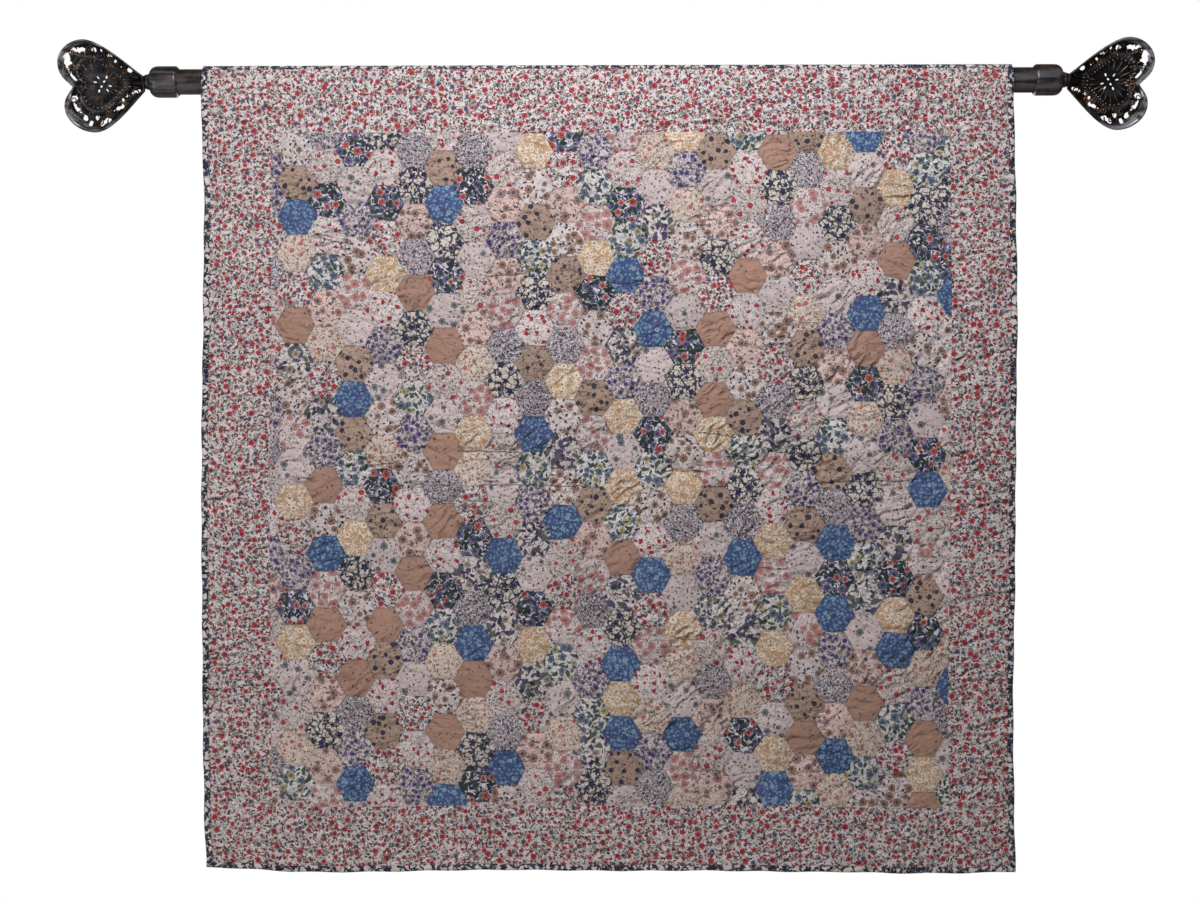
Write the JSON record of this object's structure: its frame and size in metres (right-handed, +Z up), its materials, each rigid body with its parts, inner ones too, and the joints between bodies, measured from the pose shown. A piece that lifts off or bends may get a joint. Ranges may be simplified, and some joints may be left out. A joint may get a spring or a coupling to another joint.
{
  "type": "patchwork quilt on a rod",
  "caption": "Hand-pieced hexagon patchwork quilt with mitred print borders and a bound edge, hung by a back sleeve on a round iron rod with pierced heart finials",
  "frame": {"origin": "on the rod's axis, half way along it", "axes": "+X to the right along the rod as the quilt's face is seen, +Z up, and the quilt's face looks along -Y"},
  "size_m": [1.3954, 0.0497, 1.0629],
  "materials": {
    "patch_cotton": "soft printed cotton patches in pale florals, blue, yellow and tan",
    "border_cotton": "soft printed cotton, small red flowers on a pinkish white ground",
    "binding_cotton": "soft printed cotton, dark blue vines on cream",
    "calico": "plain unbleached cotton",
    "aged_iron": "black, rubbed to bronze on raised edges"
  },
  "bodies": {
    "root": {"patchwork": "patch_cotton", "border_top": "border_cotton", "border_right": "border_cotton", "border_bottom": "border_cotton", "border_left": "border_cotton", "binding_top": "binding_cotton", "binding_right": "binding_cotton", "binding_bottom": "binding_cotton", "binding_left": "binding_cotton", "hanging_sleeve": "calico", "rod": "aged_iron", "socket_left": "aged_iron", "socket_right": "aged_iron", "heart_left": "aged_iron", "heart_right": "aged_iron"}
  },
  "joints": []
}
